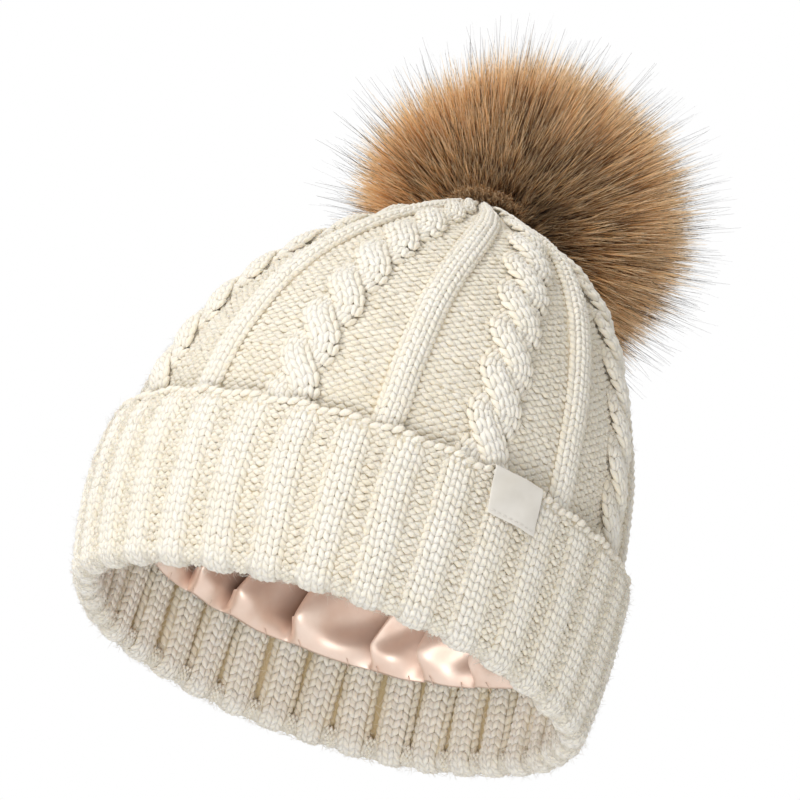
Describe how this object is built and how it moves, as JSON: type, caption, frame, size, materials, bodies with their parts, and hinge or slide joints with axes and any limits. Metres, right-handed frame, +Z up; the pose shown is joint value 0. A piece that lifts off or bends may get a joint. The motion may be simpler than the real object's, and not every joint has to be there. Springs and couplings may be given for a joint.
{
  "type": "pom pom beanie",
  "caption": "Cream cable-knit beanie with a turned-up rib cuff, satin lining, a blank side label and a large tan fur pompom on a press-stud, flopped to the back.",
  "frame": {"origin": "centre of the folded rim's plane, which the hat stands on", "axes": "+Z up along the hat's axis; -Y is the wearer's front; +X is the wearer's left"},
  "size_m": [0.203, 0.203, 0.2597],
  "materials": {
    "cream_yarn": "soft matt acrylic yarn, ivory, with a slight halo of loose fibre",
    "satin_lining": "glossy polyester satin, champagne rose",
    "satin_label": "white satin ribbon, blank",
    "label_thread": "fine white polyester thread",
    "sewing_thread": "polyester sewing thread",
    "felt": "matt pressed felt",
    "snap_metal": "nickel-plated, satin",
    "washer_plastic": "translucent white nylon",
    "fur_backing": "brown knitted backing of the fur fabric",
    "fibre_filling": "white polyester wadding",
    "faux_fur": "long dense pile, tan with dark brown tips and roots"
  },
  "bodies": {
    "hat": {"crown_knit": "cream_yarn", "rib_band": "cream_yarn", "turn_up_cuff": "cream_yarn", "cuff_cast_on_edge": "cream_yarn", "crown_gather_yarn": "cream_yarn", "lining_front_panel": "satin_lining", "lining_back_panel": "satin_lining", "lining_hem_stitches": "sewing_thread", "lining_tack": "sewing_thread", "side_label": "satin_label", "label_stitches": "label_thread", "stud_backing_patch": "felt", "press_stud": "snap_metal", "stud_stitches": "sewing_thread"},
    "stud_spring": {"snap_spring": "snap_metal"},
    "socket": {"snap_socket": "snap_metal", "tilt_bar": "snap_metal"},
    "pompom": {"thread_shank": "sewing_thread", "shank_washer": "washer_plastic", "pompom_backing": "fur_backing", "backing_tie": "sewing_thread", "pompom_stuffing": "fibre_filling", "pompom_fur": "faux_fur"}
  },
  "joints": [
    {"name": "snap_release", "type": "slide", "parent": "hat", "child": "stud_spring", "axis": [0, 0, 1], "range_m": [0, 0.03]},
    {"name": "snap_spin", "type": "hinge", "parent": "stud_spring", "child": "socket", "pos_m": [0, 0, 0.1901], "axis": [0, 0, 1], "continuous": true},
    {"name": "pompom_tilt", "type": "hinge", "parent": "socket", "child": "pompom", "pos_m": [0, 0, 0.1944], "axis": [0.9659, -0.2588, 0], "range_deg": [0, 85]}
  ]
}
